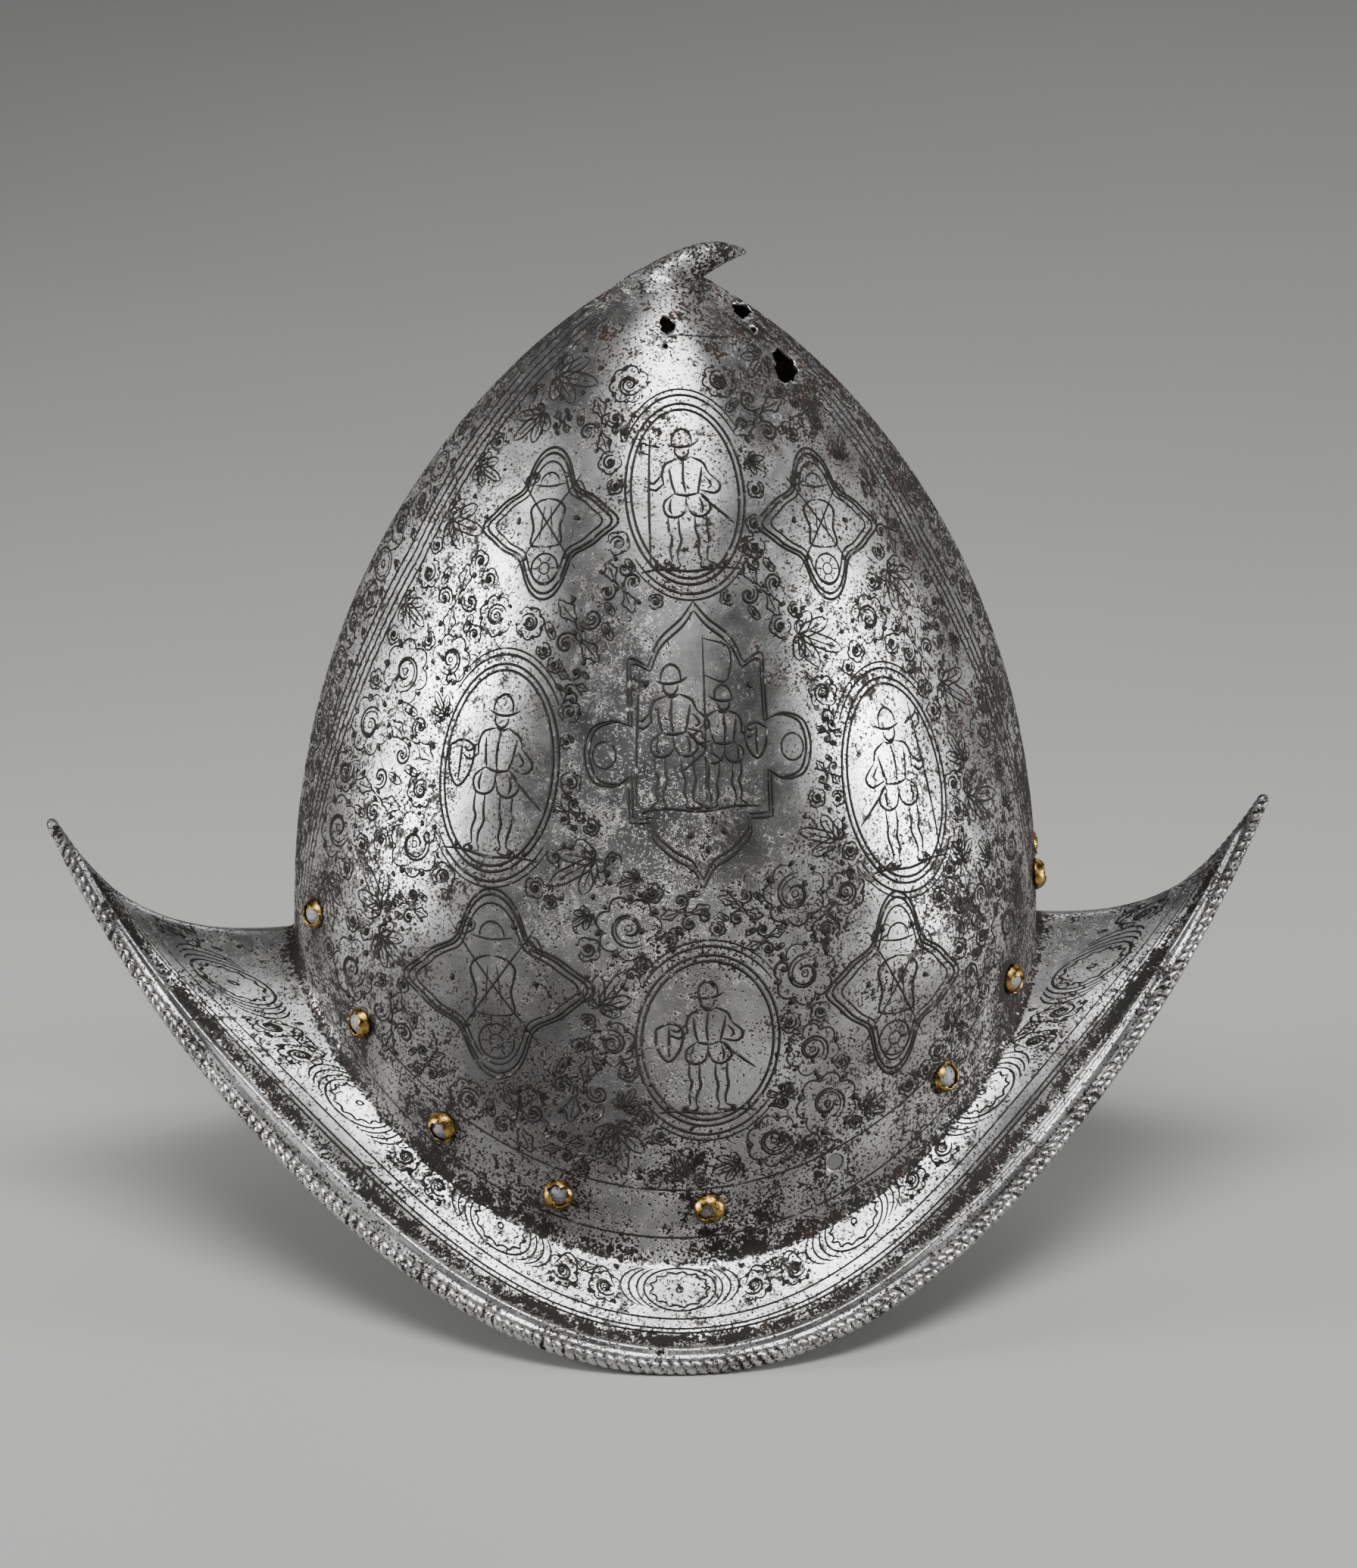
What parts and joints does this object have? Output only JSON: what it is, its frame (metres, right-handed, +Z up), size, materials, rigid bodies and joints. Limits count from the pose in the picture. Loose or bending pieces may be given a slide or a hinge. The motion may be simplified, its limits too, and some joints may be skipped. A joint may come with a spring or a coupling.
{
  "type": "cabasset",
  "caption": "Open steel helmet with an almond-shaped skull, a curled stalk, a boat-shaped brim with roped edge, etched bands and brass-capped lining rivets.",
  "frame": {"origin": "centre of the helmet's box, on the surface that the two side lands of its brim stand on", "axes": "X runs along the helmet from its front point at -X to its rear point at +X, Z is up through the skull, and -Y is the wearer's left"},
  "size_m": [0.343, 0.236, 0.2863],
  "materials": {
    "etched_steel": "forged and polished steel, etched, pitted and darkened with age",
    "rivet_iron": "worn iron",
    "cap_brass": "thin brass, worn through at the crown"
  },
  "bodies": {
    "root": {"helmet_shell": "etched_steel", "rivet_left_1": "rivet_iron", "rivet_left_2": "rivet_iron", "rivet_left_3": "rivet_iron", "rivet_left_4": "rivet_iron", "rivet_left_5": "rivet_iron", "rivet_left_7": "rivet_iron", "rivet_left_8": "rivet_iron", "rivet_left_9": "rivet_iron", "rivet_right_1": "rivet_iron", "rivet_right_2": "rivet_iron", "rivet_right_3": "rivet_iron", "rivet_right_4": "rivet_iron", "rivet_right_5": "rivet_iron", "rivet_right_6": "rivet_iron", "rivet_right_7": "rivet_iron", "rivet_right_8": "rivet_iron", "rivet_right_9": "rivet_iron", "cap_left_1": "cap_brass", "cap_left_2": "cap_brass", "cap_left_3": "cap_brass", "cap_left_4": "cap_brass", "cap_left_5": "cap_brass", "cap_left_7": "cap_brass", "cap_left_8": "cap_brass", "cap_left_9": "cap_brass", "cap_right_1": "cap_brass", "cap_right_2": "cap_brass", "cap_right_3": "cap_brass", "cap_right_4": "cap_brass", "cap_right_5": "cap_brass", "cap_right_6": "cap_brass", "cap_right_7": "cap_brass", "cap_right_8": "cap_brass", "cap_right_9": "cap_brass"}
  },
  "joints": []
}
